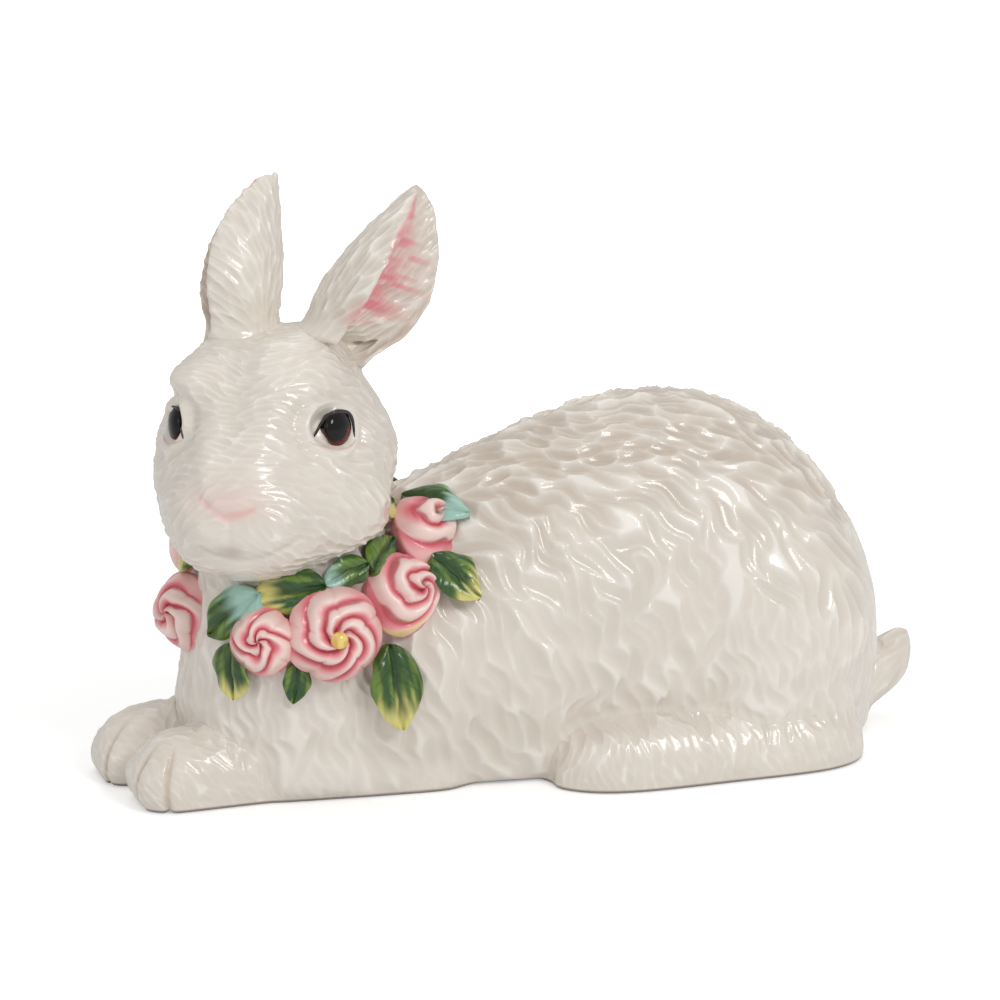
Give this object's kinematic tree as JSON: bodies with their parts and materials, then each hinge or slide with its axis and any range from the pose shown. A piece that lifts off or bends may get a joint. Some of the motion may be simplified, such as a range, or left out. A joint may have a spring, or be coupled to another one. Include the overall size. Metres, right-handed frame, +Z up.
{
  "type": "ceramic rabbit figurine",
  "caption": "Reclining rabbit in glossy white glazed ceramic, head turned to one side, with a painted garland of roses and leaves; a free-standing table ornament.",
  "frame": {"origin": "centre of the flat underside of the torso casting, on the plane that the rabbit rests on", "axes": "+Z up; the body's length runs along X with the paws towards -X and the tail towards +X; the rabbit's left side, which the face is turned to, is towards -Y"},
  "size_m": [0.3444, 0.1469, 0.2413],
  "materials": {
    "white_glaze": "glossy clear glaze over warm white slip, greyer in the hollows of the fur",
    "rose_glaze": "glossy glaze, pale pink petal lips with deep rose hollows",
    "leaf_glaze": "glossy glaze, dark green turning teal or yellow to the tips",
    "eye_glaze": "very glossy black-brown glaze with a dark red-brown lower edge",
    "bead_glaze": "glossy yellow glaze"
  },
  "bodies": {
    "root": {"body": "white_glaze", "head": "white_glaze", "leaf_front_hanging": "leaf_glaze", "leaf_front_long": "leaf_glaze", "leaf_front_low": "leaf_glaze", "leaf_front_short": "leaf_glaze", "leaf_left_cheek": "leaf_glaze", "leaf_left_nape": "leaf_glaze", "leaf_left_shoulder": "leaf_glaze", "leaf_left_small": "leaf_glaze", "leaf_nape_left": "leaf_glaze", "leaf_nape_low": "leaf_glaze", "leaf_nape_middle": "leaf_glaze", "leaf_nape_right": "leaf_glaze", "leaf_right_chest": "leaf_glaze", "leaf_right_curled": "leaf_glaze", "leaf_right_hanging": "leaf_glaze", "leaf_right_low": "leaf_glaze", "leaf_right_shoulder": "leaf_glaze", "left_ear": "white_glaze", "left_eye": "eye_glaze", "left_foreleg": "white_glaze", "left_hind_foot": "white_glaze", "right_ear": "white_glaze", "right_eye": "eye_glaze", "right_foreleg": "white_glaze", "right_hind_foot": "white_glaze", "rose_bead": "bead_glaze", "rose_front_large": "rose_glaze", "rose_front_small": "rose_glaze", "rose_left_cheek": "rose_glaze", "rose_left_shoulder": "rose_glaze", "rose_nape_left": "rose_glaze", "rose_nape_right": "rose_glaze", "rose_right_cheek": "rose_glaze", "rose_right_chest": "rose_glaze", "rose_right_shoulder": "rose_glaze", "tail": "white_glaze"}
  },
  "joints": []
}
